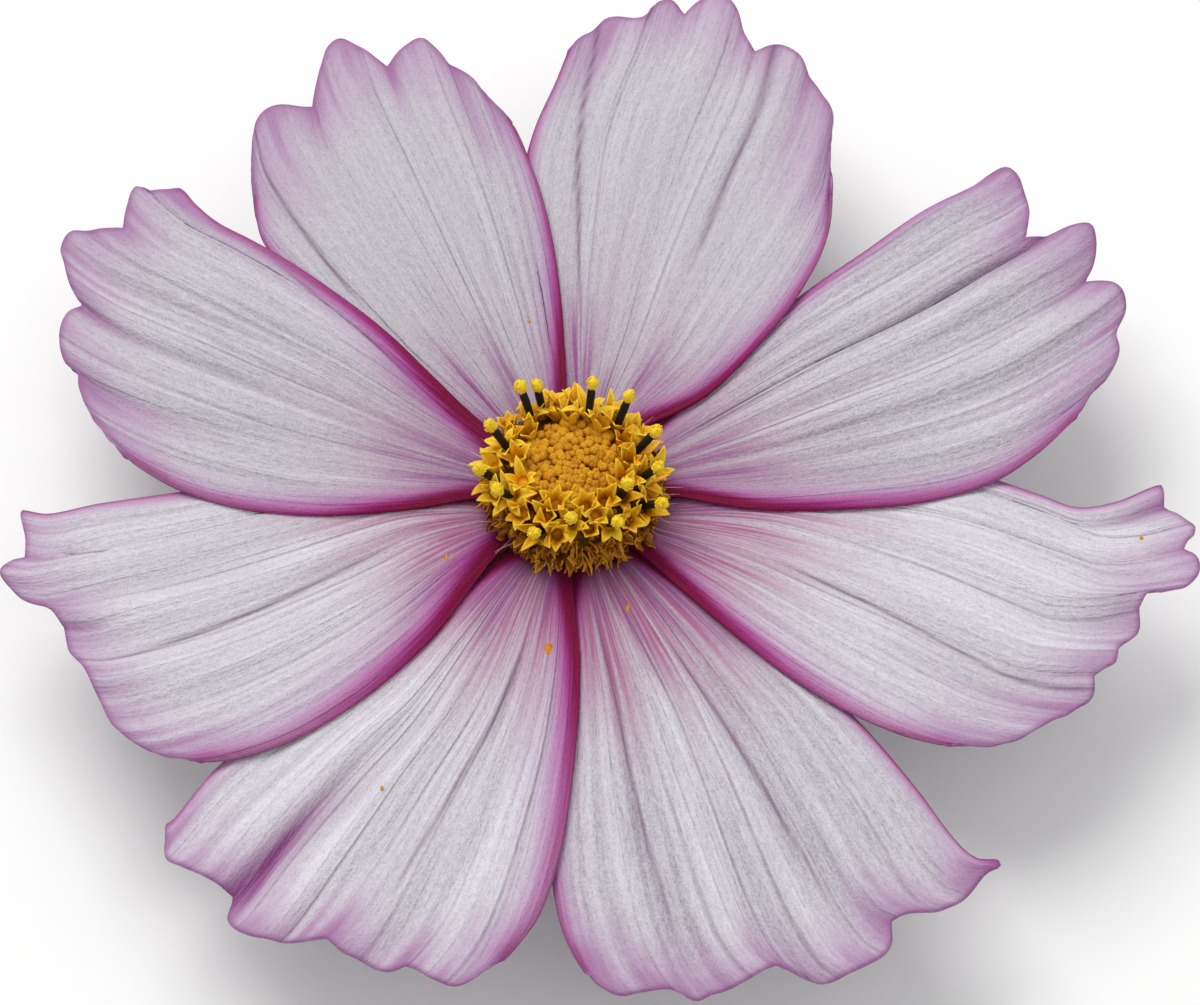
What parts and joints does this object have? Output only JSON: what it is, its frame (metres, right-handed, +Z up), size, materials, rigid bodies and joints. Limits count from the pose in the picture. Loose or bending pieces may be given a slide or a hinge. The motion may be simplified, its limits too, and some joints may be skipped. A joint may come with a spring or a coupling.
{
  "type": "cosmos flower",
  "caption": "Picked cosmos flower lying face up: broad overlapping ray petals with toothed tips round a raised disc of florets, on spreading green bracts.",
  "frame": {"origin": "on the surface the flower lies on, under the middle of its outline seen from above", "axes": "+Z up, out of the face of the flower; +X to the right and +Y away from the viewer, between two petals each"},
  "size_m": [0.0764, 0.0764, 0.0145],
  "materials": {
    "petal": "soft satin petal tissue, white with a magenta edge",
    "disc": "matte golden florets with dark anthers",
    "inner_bract": "thin papery membrane",
    "outer_bract": "matte green leaf tissue",
    "stalk": "smooth green stem, cut end paler"
  },
  "bodies": {
    "root": {"petal_1": "petal", "petal_2": "petal", "petal_3": "petal", "petal_4": "petal", "petal_5": "petal", "petal_6": "petal", "petal_7": "petal", "petal_8": "petal", "disc_florets": "disc", "inner_bracts": "inner_bract", "outer_bracts": "outer_bract", "stalk_stub": "stalk"}
  },
  "joints": []
}
